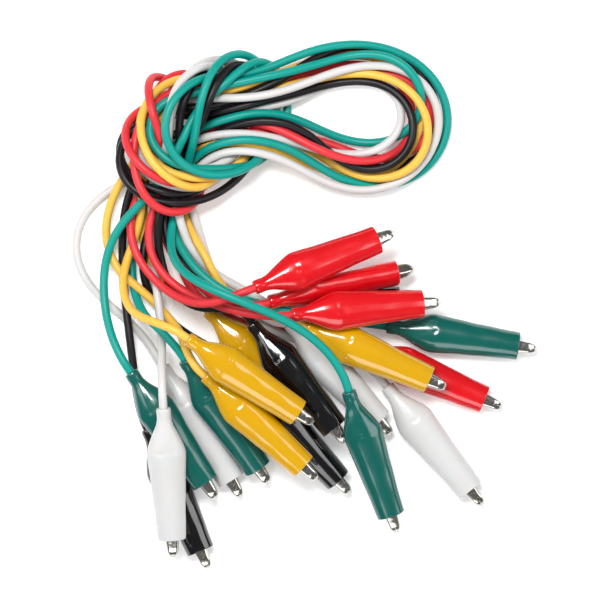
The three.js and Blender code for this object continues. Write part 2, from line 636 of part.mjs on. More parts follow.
// Straighten a wire gently, and firmly where it would bend tighter than it can.
function keepSmooth(wire) {
  for (let i = 1; i < WIRE_STEPS; i++) {
    const node = wire.nodes[i];
    pointA.addVectors(wire.nodes[i - 1], wire.nodes[i + 1]).multiplyScalar(0.5);
    gapVector.subVectors(pointA, node);
    const sag = gapVector.length() / wire.step;
    const share = sag > BEND_LIMIT ? 0.5 : BEND_STIFFNESS * (sag / BEND_LIMIT);
    gapVector.multiplyScalar(share * 0.5);
    node.add(gapVector);
    wire.nodes[i - 1].addScaledVector(gapVector, -0.5);
    wire.nodes[i + 1].addScaledVector(gapVector, -0.5);
  }
}

function followGuide(wire, pull, heightPull) {
  wire.nodes.forEach((node, i) => {
    node.x = lerp(node.x, wire.guide[i].x, pull);
    node.y = lerp(node.y, wire.guide[i].y, pull);
    node.z = lerp(node.z, wire.guide[i].z, heightPull);
  });
}

function stayAboveTable(wires, clips) {
  for (const wire of wires) {
    for (const node of wire.nodes) node.z = Math.max(node.z, WIRE_RADIUS + WIRE_SEAT);
  }
  for (const clip of clips) {
    placeBalls(clip);
    for (const ball of clip.balls) {
      updateHeight(clip, ball);
      const below = ball.radius + SEAT - ball.at.z;
      if (below > 0) pushClip(clip, ball.t, below);
    }
  }
}

// Drop the clips on the table before the wires are laid.
function settleClips(clips) {
  let near;
  for (let round = 0; round < CLIP_ROUNDS; round++) {
    if (round % NEAR_LIST_ROUNDS === 0) near = nearPairs([], clips);
    for (const clip of clips) {
      clip.neckZ -= FALL;
      clip.noseZ -= NOSE_FALL;
      limitTilt(clip);
    }
    for (const [clipA, ballA, clipB, ballB] of near.clipPairs) separateClips(clipA, ballA, clipB, ballB);
    stayAboveTable([], clips);
  }
}

function settle(wires, clips) {
  let near;
  for (let round = 0; round < ROUNDS + CLEAN_ROUNDS; round++) {
    if (round % NEAR_LIST_ROUNDS === 0) near = nearPairs(wires, clips);
    const falling = round < ROUNDS;
    const cooling = falling ? 1 - round / ROUNDS : 0;
    for (const clip of clips) {
      if (falling) {
        clip.neckZ -= FALL;
        clip.noseZ -= NOSE_FALL;
        limitTilt(clip);
      }
      placeBalls(clip);
    }
    for (const [clipA, ballA, clipB, ballB] of near.clipPairs) separateClips(clipA, ballA, clipB, ballB);
    stayAboveTable([], clips);
    for (const wire of wires) {
      if (falling) {
        for (const node of wire.nodes) node.z -= FALL;
        followGuide(wire, GUIDE_PULL, HEIGHT_PULL * cooling);
      }
      keepSmooth(wire);
      keepLength(wire);
    }
    for (let pass = 0; pass < 2; pass++) {
      for (const [wireA, i, wireB, j] of near.wirePairs) {
        separateWires(wireA, i, wireB, j, 2 * WIRE_RADIUS + WIRE_CLEARANCE);
      }
      for (const [wire, i, clip, ball] of near.ballPairs) {
        separateWireFromBall(wire, i, clip, ball, WIRE_RADIUS + ball.radius + CLIP_CLEARANCE);
      }
      stayAboveTable(wires, clips);
      wires.forEach(holdEnds);
    }
  }
}

// ---------------------------------------------------------------- meshes

// A curve that goes straight from one settled node to the next.
class RouteCurve extends THREE.Curve {
  constructor(nodes) {
    super();
    this.nodes = nodes;
  }

  getPoint(t, target = new THREE.Vector3()) {
    const place = t * (this.nodes.length - 1);
    const i = Math.min(Math.floor(place + 1e-9), this.nodes.length - 2);
    return target.lerpVectors(this.nodes[i], this.nodes[i + 1], THREE.MathUtils.clamp(place - i, 0, 1));
  }

  getPointAt(u, target) {
    return this.getPoint(u, target);
  }

  getTangentAt(u, target = new THREE.Vector3()) {
    const last = this.nodes.length - 1;
    const i = Math.round(u * last);
    return target.subVectors(this.nodes[Math.min(i + 1, last)], this.nodes[Math.max(i - 1, 0)]).normalize();
  }
}

function wireGeometry(wire) {
  const section = new THREE.Shape();
  for (let i = 0; i < WIRE_SIDES; i++) {
    const angle = (i * 2 * Math.PI) / WIRE_SIDES;
    const point = [WIRE_RADIUS * Math.cos(angle), WIRE_RADIUS * Math.sin(angle)];
    if (i) section.lineTo(...point);
    else section.moveTo(...point);
  }
  return new THREE.ExtrudeGeometry(section, {
    steps: WIRE_STEPS,
    extrudePath: new RouteCurve(wire.nodes),
  });
}

function finish(colour, metal = false) {
  return new THREE.MeshStandardMaterial({
    color: colour,
    roughness: metal ? 0.3 : 0.4,
    metalness: metal ? 1 : 0,
  });
}

const NICKEL = finish(0xc8c6c0, true);
const STEEL = finish(0x9a9a98, true);
const COPPER = finish(0xc77b4a, true);

function addMesh(group, name, geometry, material) {
  const mesh = new THREE.Mesh(geometry, material);
  mesh.name = name;
  group.add(mesh);
  return mesh;
}

// A clip's frame: X towards the nose, Y the pivot axis, the origin on the pivot.
function clipGroup(clip) {
  const group = new THREE.Group();
  const neck = clipPoint(clip, 0);
  const nose = clipPoint(clip, 1);
  const xAxis = new THREE.Vector3().subVectors(nose, neck).normalize();
  const zAxis = clip.side.clone();
  const yAxis = new THREE.Vector3().crossVectors(zAxis, xAxis).normalize();
  group.matrixAutoUpdate = false;
  const turn = new THREE.Matrix4().makeRotationX(radians(clip.roll));
  group.matrix.makeBasis(xAxis, yAxis, zAxis).multiply(turn);
  group.matrix.setPosition(clipPoint(clip, -NECK_X / (NOSE_X - NECK_X)));
  return group;
}

const boot = bootGeometry();
const bootedJaw = bootedJawGeometry();
const movingJaw = toGeometry(jawSolid(HANDLE_Z, false));
const drilledJaw = toGeometry(jawSolid(HANDLE_Z, true));

// The pieces that hide in a boot: the pin, the torsion spring round it and the crimped wire end.
function addWorks(group, name) {
  addMesh(group, name("pivot_pin"), new THREE.CylinderGeometry(PIN_RADIUS, PIN_RADIUS, PIN_LENGTH, 12), STEEL);
  const ring = new THREE.LatheGeometry(
    [
      new THREE.Vector2(SPRING_RADIUS, -SPRING_HALF_LENGTH),
      new THREE.Vector2(SPRING_RADIUS + SPRING_WIRE, -SPRING_HALF_LENGTH),
      new THREE.Vector2(SPRING_RADIUS + SPRING_WIRE, SPRING_HALF_LENGTH),
      new THREE.Vector2(SPRING_RADIUS, SPRING_HALF_LENGTH),
      new THREE.Vector2(SPRING_RADIUS, -SPRING_HALF_LENGTH),
    ],
    12,
  );
  addMesh(group, name("torsion_spring"), ring, STEEL);
  const core = new THREE.CylinderGeometry(CONDUCTOR_RADIUS, CONDUCTOR_RADIUS, CRIMP_LENGTH, 8);
  core.rotateZ(Math.PI / 2);
  core.translate(NECK_X + WIRE_ENTRY + 0.3 + CRIMP_LENGTH / 2, 0, 0);
  addMesh(group, name("conductor"), core, COPPER);
}

function addClip(root, clip) {
  const group = clipGroup(clip);
  const [colour, lead, end] = clip.name.split("_");
  const name = (piece) => `${colour}_${lead}_${piece}_${end}`;
  const plastic = finish(COLOURS[colour].boot);
  if (`${colour}_${lead}` === OPEN_LEAD) {
    addMesh(group, name("boot"), boot, plastic);
    addMesh(group, name("fixed_jaw"), drilledJaw, NICKEL).rotation.x = Math.PI;
    addMesh(group, name("moving_jaw"), drilledJaw, NICKEL);
    addWorks(group, name);
  } else {
    addMesh(group, name("boot_and_fixed_jaw"), bootedJaw, plastic);
    addMesh(group, name("moving_jaw"), movingJaw, NICKEL);
  }
  root.add(group);
}

const clips = new Map(Object.keys(CLIPS).map((name) => [name, makeClip(name)]));
settleClips([...clips.values()]);
const wires = LEADS.map((lead) => makeWire(lead, clips));
settle(wires, [...clips.values()]);

const wireGroup = new THREE.Group();
for (const wire of wires) {
  const colour = COLOURS[wire.lead.split("_")[0]].wire;
  addMesh(wireGroup, wire.lead + "_wire", wireGeometry(wire), finish(colour));
}
const clipsGroup = new THREE.Group();
for (const clip of clips.values()) addClip(clipsGroup, clip);

// Put the origin on the table, under the middle of the clips.
clipsGroup.updateMatrixWorld(true);
const clipsBox = new THREE.Box3().setFromObject(clipsGroup, true);
const middle = clipsBox.getCenter(new THREE.Vector3());
const placed = new THREE.Group();
placed.position.set(-middle.x, -middle.y, -clipsBox.min.z);
placed.add(wireGroup, clipsGroup);
const assembly = new THREE.Group();
assembly.add(placed);

export default assembly;
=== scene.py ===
"""Ten alligator clip leads in five colours, knotted together and laid on a pale floor.

Each lead is a soft wire with a booted spring clip at both ends. The wires follow the centrelines
of the frame's wire solids, and each clip is built about its jaw's hinge. Metres, +Z up.
"""

import json
import math

import bpy
import numpy as np
from mathutils import Matrix, Vector
from mathutils.kdtree import KDTree


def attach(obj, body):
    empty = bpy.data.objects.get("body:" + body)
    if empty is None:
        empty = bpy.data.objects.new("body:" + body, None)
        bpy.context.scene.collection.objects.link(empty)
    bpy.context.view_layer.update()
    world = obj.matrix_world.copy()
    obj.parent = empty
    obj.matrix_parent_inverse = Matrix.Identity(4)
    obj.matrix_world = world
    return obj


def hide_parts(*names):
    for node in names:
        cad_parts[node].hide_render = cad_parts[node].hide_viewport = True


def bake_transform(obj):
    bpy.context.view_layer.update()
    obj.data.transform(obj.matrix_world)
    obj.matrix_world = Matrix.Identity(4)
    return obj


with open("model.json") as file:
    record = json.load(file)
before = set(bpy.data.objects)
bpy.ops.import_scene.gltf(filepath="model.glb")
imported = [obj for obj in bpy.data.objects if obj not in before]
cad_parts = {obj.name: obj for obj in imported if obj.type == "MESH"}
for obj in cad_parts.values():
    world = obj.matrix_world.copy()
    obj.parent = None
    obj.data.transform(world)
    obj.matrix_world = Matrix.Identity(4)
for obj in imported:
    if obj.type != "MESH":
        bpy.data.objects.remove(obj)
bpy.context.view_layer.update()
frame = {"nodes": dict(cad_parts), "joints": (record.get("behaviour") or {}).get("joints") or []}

MM = 0.001
ROOT = "pile"

# The camera looks straight down, with +Y up in the picture.
VIEW_CENTRE = (-8.32 * MM, 27.36 * MM)
VIEW_WIDTH = 171.4 * MM
LENS = 400.0
SENSOR = 36.0

# Name, place, size and power in watts: a softbox a little off the camera, and wide soft panels.
LIGHTS = [
    ("key", (-0.12, 0.3, 0.8), (0.34, 0.2), 6.6),
    ("left", (-0.8, 0.1, 0.7), (0.5, 0.8), 4.2),
    ("right", (0.8, 0.1, 0.7), (0.5, 0.8), 4.2),
    ("front", (0.0, -0.8, 0.7), (0.8, 0.5), 4.2),
]
LIGHTS_AIM = (0.0, 0.02, 0.0)
ROOM_LIGHT = 0.15
FLOOR_HALF = 1.5

# Wire
WIRE_RADIUS = 1.2 * MM
RING_CORNERS = 6
STEPS_PER_RING = 9
RELAX_ROUNDS = 90
NEAR_LIST_ROUNDS = 15
NEAR_REACH = 3 * WIRE_RADIUS
SAME_WIRE_APART = 8 * STEPS_PER_RING
HELD_END = 2 * STEPS_PER_RING
WIRE_GAP = 0.03 * MM
PUSH_SHARE = 0.25
BEND_SHARE = 0.1

# Clip, in millimetres in its own frame: X to the nose, Y the pivot axis, +Z the moving jaw's side.
WIRE_END_X = -20.0
BOOT_WALL = 0.75
BOOT_SIDES = 64
# Place along X, half width in Z, half thickness in Y, squareness of the section.
BOOT_SECTIONS = [
    (-23.0, 2.0, 2.0, 2.0),
    (-21.6, 2.08, 2.08, 2.0),
    (-19.8, 2.08, 2.05, 2.0),
    (-18.4, 2.4, 2.25, 2.0),
    (-16.4, 3.25, 2.7, 2.0),
    (-14.2, 4.25, 3.1, 2.0),
    (-12.0, 5.1, 3.38, 2.0),
    (-10.0, 5.5, 3.5, 2.0),
    (-7.5, 5.42, 3.55, 2.0),
    (-3.0, 5.08, 3.55, 2.0),
    (3.0, 4.66, 3.5, 2.0),
    (9.0, 4.3, 3.42, 2.05),
    (15.0, 4.0, 3.35, 2.1),
]
BOOT_LENGTH_STEPS = 110
BOOT_LIP = 0.22
SKIN_WAVE = 0.016
SKIN_DENT = 0.22
SKIN_CORNER = 0.14
# Behind NECK_X the boot closes round the wire, with a bore of this radius, a little wider at its
# end. NECK_EDGE is the share of the neck's size that its rounded end keeps.
NECK_X = -18.0
NECK_BORE = 1.26
NECK_END_BORE = 1.3
NECK_EDGE = 0.93

JAW_SHEET = 0.45
JAW_HALF_WIDTH = 2.2
NOSE_HALF_WIDTH = 1.7
NOSE_X = 20.2
NOSE_ROUND = 3.0
TOOTH_PITCH = 1.25
TOOTH_HEIGHT = 0.42
TOOTH_GAP = 0.06
TEETH_X = 6.0
TEETH_END_X = 19.0
JAW_ARC = 16
JAW_SQUARE = 0.62
HANDLE_X = -10.5
# Places along X with the height of a jaw's back, its half width, and its edge behind the teeth.
JAW_BACK = [
    (HANDLE_X, 4.35),
    (-7.0, 4.0),
    (-3.0, 3.0),
    (0.0, 2.55),
    (4.0, 2.4),
    (15.0, 2.0),
    (NOSE_X - NOSE_ROUND, 1.72),
]
JAW_PLAN = [(HANDLE_X, 1.25), (-6.0, 1.6), (0.0, JAW_HALF_WIDTH), (12.0, 2.1), (NOSE_X, NOSE_HALF_WIDTH)]
JAW_REAR_X = 0.8
JAW_REAR = [(HANDLE_X, 3.75), (-6.0, 2.2), (-0.4, 0.36), (JAW_REAR_X, TOOTH_GAP)]
PIN_RADIUS = 0.8
PIN_GAP = 0.12
# The pin's head from its end inwards: radius, and distance out from the jaw's side.
PIN_HEAD = [(0.25, 0.42), (0.92, 0.34), (1.15, 0.1), (1.15, 0.0)]

SPRING_TURNS = 4
SPRING_STEPS = 16
SPRING_RADIUS = 1.2
SPRING_HALF_LENGTH = 0.95
SPRING_WIRE = 0.2

# Places along X with the barrel's outside radius, then with the tongue's top and half width.
CRIMP_SHEET = 0.28
CRIMP_SEAM = 0.25
CRIMP_ARC = 18
CRIMP_BARREL = [(-19.3, 1.5), (-18.6, 1.42), (-17.6, 1.18), (-16.8, 1.12), (-16.0, 1.2), (-15.2, 1.35)]
TONGUE_SHEET = 0.35
CRIMP_TONGUE = [
    (-15.6, -1.15, 0.9),
    (-14.0, -1.6, 1.0),
    (-12.0, -2.9, 1.1),
    (HANDLE_X + 0.4, -3.9, 1.15),
]

STRANDS_ROUND = 6
STRAND_RADIUS = 0.2
STRAND_RING = 0.42
STRAND_STEPS = 13
STRAND_STEP = 0.42
STRAND_TWIST = 0.22

# Each colour's wire and boot.
COLOURS = {
    "red": ((0.66, 0.032, 0.042), (0.62, 0.003, 0.008)),
    "green": ((0.0, 0.285, 0.235), (0.0, 0.094, 0.078)),
    "yellow": ((0.78, 0.47, 0.07), (0.60, 0.32, 0.001)),
    "black": ((0.006, 0.004, 0.006), (0.002, 0.002, 0.003)),
    "white": ((0.60, 0.585, 0.58), (0.58, 0.58, 0.575)),
}
# Each boot's lowest and highest roughness, clear coat, glow under the skin and ripple.
BOOT_FINISH = {
    "red": (0.16, 0.26, 0.5, 0.08, 0.1),
    "green": (0.16, 0.26, 0.5, 0.05, 0.1),
    "yellow": (0.12, 0.2, 0.7, 0.1, 0.05),
    "black": (0.1, 0.18, 0.8, 0.0, 0.16),
    "white": (0.36, 0.46, 0.1, 0.2, 0.04),
}


# ---------------------------------------------------------------- camera, light and floor


def make_camera():
    data = bpy.data.cameras.new("camera")
    data.lens = LENS
    data.sensor_width = SENSOR
    camera = bpy.data.objects.new("camera", data)
    bpy.context.scene.collection.objects.link(camera)
    height = VIEW_WIDTH / 2 / (SENSOR / 2 / LENS)
    camera.location = (VIEW_CENTRE[0], VIEW_CENTRE[1], height)
    data.clip_start = 0.01
    data.clip_end = 10
    bpy.context.scene.camera = camera


def area_light(name, location, size, power):
    data = bpy.data.lights.new(name, "AREA")
    data.shape = "RECTANGLE"
    data.size, data.size_y = size
    data.energy = power
    lamp = bpy.data.objects.new(name, data)
    bpy.context.scene.collection.objects.link(lamp)
    lamp.location = location
    aim = Vector(LIGHTS_AIM) - Vector(location)
    lamp.rotation_mode = "QUATERNION"
    lamp.rotation_quaternion = aim.to_track_quat("-Z", "Y")


def make_light():
    """The lamps, and a dim grey room round them."""
    bpy.context.scene.view_settings.view_transform = "Standard"
    world = bpy.data.worlds.new("studio")
    world.use_nodes = True
    background = world.node_tree.nodes["Background"]
    background.inputs["Color"].default_value = (1, 1, 1, 1)
    background.inputs["Strength"].default_value = ROOM_LIGHT
    bpy.context.scene.world = world
    for name, location, size, power in LIGHTS:
        area_light(name, location, size, power)


def make_floor():
    half = FLOOR_HALF
    mesh = bpy.data.meshes.new("floor")
    corners = [(-half, -half, 0), (half, -half, 0), (half, half, 0), (-half, half, 0)]
    mesh.from_pydata(corners, [], [(0, 1, 2, 3)])
    floor = bpy.data.objects.new("floor", mesh)
    bpy.context.scene.collection.objects.link(floor)
    floor.location.z = -0.05 * MM
    material = bpy.data.materials.new("floor")
    material.use_nodes = True
    shader = material.node_tree.nodes["Principled BSDF"]
    shader.inputs["Base Color"].default_value = (0.94, 0.94, 0.94, 1)
    shader.inputs["Roughness"].default_value = 0.7
    shader.inputs["Specular IOR Level"].default_value = 0.2
    # The table top is a lit white sheet, so shadows on it are faint.
    shader.inputs["Emission Color"].default_value = (1, 1, 1, 1)
    shader.inputs["Emission Strength"].default_value = 0.2
    mesh.materials.append(material)


# ---------------------------------------------------------------- materials


def new_material(name):
    material = bpy.data.materials.new(name)
    material.use_nodes = True
    tree = material.node_tree
    shader = tree.nodes["Principled BSDF"]
    place = tree.nodes.new("ShaderNodeTexCoord")
    return material, tree, shader, place.outputs["Object"]


def noise(tree, place, scale, detail):
    node = tree.nodes.new("ShaderNodeTexNoise")
    node.inputs["Scale"].default_value = scale
    node.inputs["Detail"].default_value = detail
    tree.links.new(place, node.inputs["Vector"])
    return node.outputs["Fac"]


def spread(tree, value, low, high):
    node = tree.nodes.new("ShaderNodeMapRange")
    node.inputs["From Min"].default_value = 0.3
    node.inputs["From Max"].default_value = 0.7
    node.inputs["To Min"].default_value = low
    node.inputs["To Max"].default_value = high
    tree.links.new(value, node.inputs["Value"])
    return node.outputs["Result"]


def tint(tree, value, colour, darker):
    node = tree.nodes.new("ShaderNodeMix")
    node.data_type = "RGBA"
    tree.links.new(value, node.inputs["Factor"])
    node.inputs["A"].default_value = (*(c * darker for c in colour), 1)
    node.inputs["B"].default_value = (*colour, 1)
    return node.outputs["Result"]


def bump(tree, shader, height, strength, distance):
    node = tree.nodes.new("ShaderNodeBump")
    node.inputs["Strength"].default_value = strength
    node.inputs["Distance"].default_value = distance
    tree.links.new(height, node.inputs["Height"])
    tree.links.new(node.outputs["Normal"], shader.inputs["Normal"])


def wire_material(name, colour):
    """Satin PVC insulation with faint ripples and handling marks."""
    material, tree, shader, place = new_material(name)
    mottle = noise(tree, place, 140, 3)
    tree.links.new(tint(tree, mottle, colour, 0.93), shader.inputs["Base Color"])
    tree.links.new(spread(tree, noise(tree, place, 420, 4), 0.34, 0.46), shader.inputs["Roughness"])
    shader.inputs["Specular IOR Level"].default_value = 0.3
    shader.inputs["Subsurface Weight"].default_value = 0.05
    shader.inputs["Subsurface Scale"].default_value = 0.6 * MM
    bump(tree, shader, noise(tree, place, 900, 2), 0.1, 0.05 * MM)
    return material


def boot_material(name, colour, finish):
    """Soft PVC with a slightly uneven moulded skin."""
    low, high, coat, glow, ripple = finish
    material, tree, shader, place = new_material(name)
    mottle = noise(tree, place, 90, 4)
    tree.links.new(tint(tree, mottle, colour, 0.88), shader.inputs["Base Color"])
    tree.links.new(spread(tree, noise(tree, place, 260, 5), low, high), shader.inputs["Roughness"])
    shader.inputs["Specular IOR Level"].default_value = 0.5
    shader.inputs["Coat Weight"].default_value = coat
    shader.inputs["Coat Roughness"].default_value = 0.08
    shader.inputs["Subsurface Weight"].default_value = glow
    shader.inputs["Subsurface Scale"].default_value = 1.2 * MM
    bump(tree, shader, noise(tree, place, 300, 2), ripple, 0.1 * MM)
    return material


def metal_material(name, colour, rough, marks):
    """Plated or drawn metal with fine tumbling marks."""
    material, tree, shader, place = new_material(name)
    mottle = noise(tree, place, 500, 5)
    tree.links.new(tint(tree, mottle, colour, 0.8), shader.inputs["Base Color"])
    low, high = rough
    tree.links.new(spread(tree, noise(tree, place, 1400, 6), low, high), shader.inputs["Roughness"])
    shader.inputs["Metallic"].default_value = 1
    bump(tree, shader, noise(tree, place, marks, 5), 0.25, 0.04 * MM)
    return material


WIRE_MATERIALS = {c: wire_material(c + "_wire", pair[0]) for c, pair in COLOURS.items()}
BOOT_MATERIALS = {c: boot_material(c + "_boot", p[1], BOOT_FINISH[c]) for c, p in COLOURS.items()}
NICKEL = metal_material("nickel", (0.60, 0.58, 0.54), (0.12, 0.24), 1800)
STEEL = metal_material("steel", (0.56, 0.56, 0.55), (0.25, 0.4), 2500)
COPPER = metal_material("copper", (0.86, 0.42, 0.24), (0.22, 0.36), 2500)


# ---------------------------------------------------------------- wires


def neighbours(mesh):
    """A mesh's vertices merged by place, and the set of neighbours of each."""
    index, points, merged = {}, [], []
    for vertex in mesh.vertices:
        key = tuple(round(c / (0.004 * MM)) for c in vertex.co)
        if key not in index:
            index[key] = len(points)
            points.append(vertex.co.copy())
        merged.append(index[key])
    linked = [set() for _ in points]
    for edge in mesh.edges:
        a, b = (merged[i] for i in edge.vertices)
        if a != b:
            linked[a].add(b)
            linked[b].add(a)
    return points, linked


def layers(linked, first):
    """Vertices in steps of distance from a first set."""
    seen, rows = set(first), [sorted(first)]
    while True:
        row = {n for v in rows[-1] for n in linked[v]} - seen
        if not row:
            return rows
        seen |= row
        rows.append(sorted(row))


def centreline(node):
    """The middles of a wire solid's rings, from one end to the other."""
    points, linked = neighbours(frame["nodes"][node].data)
    tip = layers(linked, [0])[-1][0]
    near = sorted(range(len(points)), key=lambda i: (points[i] - points[tip]).length)
    rings = layers(linked, near[:RING_CORNERS])
    return np.array([np.mean([points[i] for i in ring], axis=0) for ring in rings])


def smooth_line(knots):
    """A finer line through the knots, by centripetal Catmull-Rom."""
    first = 2 * knots[0] - knots[1]
    last = 2 * knots[-1] - knots[-2]
    p = np.vstack([first, knots, last])
    made = []
    for i in range(1, len(p) - 2):
        p0, p1, p2, p3 = p[i - 1 : i + 3]
        t1 = np.linalg.norm(p1 - p0) ** 0.5
        t2 = t1 + np.linalg.norm(p2 - p1) ** 0.5
        t3 = t2 + np.linalg.norm(p3 - p2) ** 0.5
        for step in range(STEPS_PER_RING):
            t = t1 + (t2 - t1) * step / STEPS_PER_RING
            a1 = (t1 - t) / t1 * p0 + t / t1 * p1
            a2 = (t2 - t) / (t2 - t1) * p1 + (t - t1) / (t2 - t1) * p2
            a3 = (t3 - t) / (t3 - t2) * p2 + (t - t2) / (t3 - t2) * p3
            b1 = (t2 - t) / t2 * a1 + t / t2 * a2
            b2 = (t3 - t) / (t3 - t1) * a2 + (t - t1) / (t3 - t1) * a3
            made.append((t2 - t) / (t2 - t1) * b1 + (t - t1) / (t2 - t1) * b2)
    made.append(knots[-1])
    return np.array(made)


def near_pairs(points, owner, place):
    """Pairs of points of different wires, or of far places on one wire, that lie close together."""
    tree = KDTree(len(points))
    for i, p in enumerate(points):
        tree.insert(p, i)
    tree.balance()
    pairs = []
    for i, p in enumerate(points):
        for _, j, _ in tree.find_range(p, NEAR_REACH):
            if j > i and (owner[i] != owner[j] or abs(place[i] - place[j]) > SAME_WIRE_APART):
                pairs.append((i, j))
    return np.array(pairs)


def relax(lines):
    """Push the smoothed wires apart where they press into each other, with their ends held."""
    names = list(lines)
    points = np.vstack([lines[n] for n in names])
    owner = np.concatenate([[k] * len(lines[n]) for k, n in enumerate(names)])
    place = np.concatenate([np.arange(len(lines[n])) for n in names])
    left = np.concatenate([np.arange(len(lines[n]))[::-1] for n in names])
    loose = np.clip((np.minimum(place, left) - HELD_END) / HELD_END, 0, 1)[:, None]
    inner = np.flatnonzero((place > 0) & (left > 0))
    for turn in range(RELAX_ROUNDS):
        if turn % NEAR_LIST_ROUNDS == 0:
            pairs = near_pairs(points, owner, place)
        a, b = pairs[:, 0], pairs[:, 1]
        gap = points[b] - points[a]
        distance = np.linalg.norm(gap, axis=1)
        short = np.maximum(0, 2 * WIRE_RADIUS + WIRE_GAP - distance)
        push = gap * (PUSH_SHARE * short / distance)[:, None]
        move = np.zeros_like(points)
        np.add.at(move, b, push)
        np.add.at(move, a, -push)
        for _ in range(3):
            move[inner] = (move[inner - 1] + 2 * move[inner] + move[inner + 1]) / 4
        points = points + move * loose
        points[:, 2] = np.maximum(points[:, 2], WIRE_RADIUS)
        bend = np.zeros_like(points)
        bend[inner] = points[inner - 1] - 2 * points[inner] + points[inner + 1]
        points = points + BEND_SHARE * bend * loose
    return {n: points[owner == k] for k, n in enumerate(names)}


def make_wire(lead, line):
    colour = lead.split("_")[0]
    curve = bpy.data.curves.new(lead + "_insulation", "CURVE")
    curve.dimensions = "3D"
    curve.bevel_depth = WIRE_RADIUS
    curve.bevel_resolution = 5
    curve.use_fill_caps = True
    spline = curve.splines.new("POLY")
    spline.points.add(len(line) - 1)
    flat = np.hstack([line, np.ones((len(line), 1))]).ravel()
    spline.points.foreach_set("co", flat)
    curve.materials.append(WIRE_MATERIALS[colour])
    wire = bpy.data.objects.new(lead + "_insulation", curve)
    bpy.context.scene.collection.objects.link(wire)
    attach(wire, ROOT)
    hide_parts(lead + "_wire")
    return wire


# ---------------------------------------------------------------- clip frames


def clip_matrix(joint, line_ends):
    """A clip's frame in metres: the origin on the pivot, X to the nose, Y the pivot axis."""
    pivot = Vector(joint["pos_m"])
    y_axis = -Vector(joint["axis"]).normalized()
    reach = -WIRE_END_X * MM
    wire_end = min((Vector(p) for p in line_ends), key=lambda p: abs((p - pivot).length - reach))
    x_axis = (pivot - wire_end).normalized()
    z_axis = x_axis.cross(y_axis).normalized()
    x_axis = y_axis.cross(z_axis)
    matrix = Matrix((x_axis, y_axis, z_axis)).transposed().to_4x4()
    matrix.translation = pivot
    return matrix


# ---------------------------------------------------------------- clip pieces, in millimetres


def add_piece(name, vertices, faces, matrix, material, slot):
    """A mesh in a clip's frame, given in millimetres."""
    mesh = bpy.data.meshes.new(name)
    mesh.from_pydata([tuple(float(c) * MM for c in v) for v in vertices], [], faces)
    mesh.materials.append(material)
    mesh.shade_smooth()
    mesh.update()
    piece = bpy.data.objects.new(name, mesh)
    bpy.context.scene.collection.objects.link(piece)
    piece.matrix_world = matrix
    return piece


def loft(rings, closed_ends=True):
    """Vertices and faces of a tube through rings that all have the same number of points."""
    count = len(rings[0])
    vertices = [p for ring in rings for p in ring]
    faces = []
    for i in range(len(rings) - 1):
        for j in range(count):
            k = (j + 1) % count
            faces.append((i * count + j, i * count + k, (i + 1) * count + k, (i + 1) * count + j))
    if closed_ends:
        faces.append(tuple(reversed(range(count))))
        faces.append(tuple((len(rings) - 1) * count + j for j in range(count)))
    return vertices, faces


def boot_size(x):
    """The boot's half width, half thickness and squareness at x, on smooth curves."""
    table = np.array(BOOT_SECTIONS)
    xs = table[:, 0]
    i = int(np.clip(np.searchsorted(xs, x) - 1, 0, len(xs) - 2))
    t = (x - xs[i]) / (xs[i + 1] - xs[i])
    slope = np.gradient(table[:, 1:], xs, axis=0)
    h = xs[i + 1] - xs[i]
    a, b = table[i, 1:], table[i + 1, 1:]
    return (
        (2 * t**3 - 3 * t**2 + 1) * a
        + (t**3 - 2 * t**2 + t) * h * slope[i]
        + (3 * t**2 - 2 * t**3) * b
        + (t**3 - t**2) * h * slope[i + 1]
    )


def boot_ring(x, inset, shape):
    width, thick, square = boot_size(x)
    ring = []
    for j in range(BOOT_SIDES):
        angle = 2 * math.pi * j / BOOT_SIDES
        c, s = math.cos(angle), math.sin(angle)
        z = math.copysign(abs(c) ** (2 / square), c)
        y = math.copysign(abs(s) ** (2 / square), s)
        push = shape(x, y, z) if inset == 0 else 0
        ring.append((x, y * (thick - inset + push), z * (width - inset + push)))
    return ring


def boot_skin(seed):
    """How far a boot's skin stands out or in at a place, as a function of x and its y and z shares."""
    rng = np.random.default_rng(seed)
    waves = [(rng.uniform(0.3, 0.8), rng.uniform(0, 6.28), rng.integers(1, 4)) for _ in range(4)]
    step_x = HANDLE_X + rng.uniform(0.2, 1.2)
    step_height = rng.uniform(0.1, 0.2)
    creases = []
    for _ in range(3):
        creases.append((rng.uniform(-0.6, 0.6), rng.uniform(-0.25, 0.25), rng.uniform(0.03, 0.08)))
    dents = [(step_x + rng.uniform(-0.6, 0.3), rng.uniform(-0.35, 0.35), side) for side in (-1, 1)]

    def push(x, y, z):
        around = math.atan2(y, z)
        body = min(1, max(0, (x + 19) / 5))
        total = 0
        for rate, phase, lobes in waves:
            total += SKIN_WAVE * body * math.sin(rate * x + phase + lobes * around)
        flat = abs(y) ** 1.5
        # The handle's end presses the skin up in a step, which fades towards the mouth.
        rise = 1 / (1 + math.exp(-(x - step_x) / 0.22))
        total += step_height * flat * rise * math.exp(-max(0, x - step_x) / 5)
        # Folds run from the handle down to the neck.
        fold = math.exp(-((x + 14) ** 2) / 7)
        for crease_z, slant, depth in creases:
            total -= depth * flat * fold * math.exp(-((z - crease_z - slant * (x + 14) / 4) ** 2) / 0.006)
        for dent_x, dent_z, side in dents:
            if y * side > 0:
                total -= SKIN_DENT * math.exp(-((x - dent_x) ** 2) / 0.35 - (z - dent_z) ** 2 / 0.012)
        # The handle's corners stand out along both sides of its end.
        corner = math.exp(-((x - HANDLE_X) ** 2) / 2.2)
        return total + SKIN_CORNER * corner * math.exp(-((abs(z) - 0.93) ** 2) / 0.01)

    return push


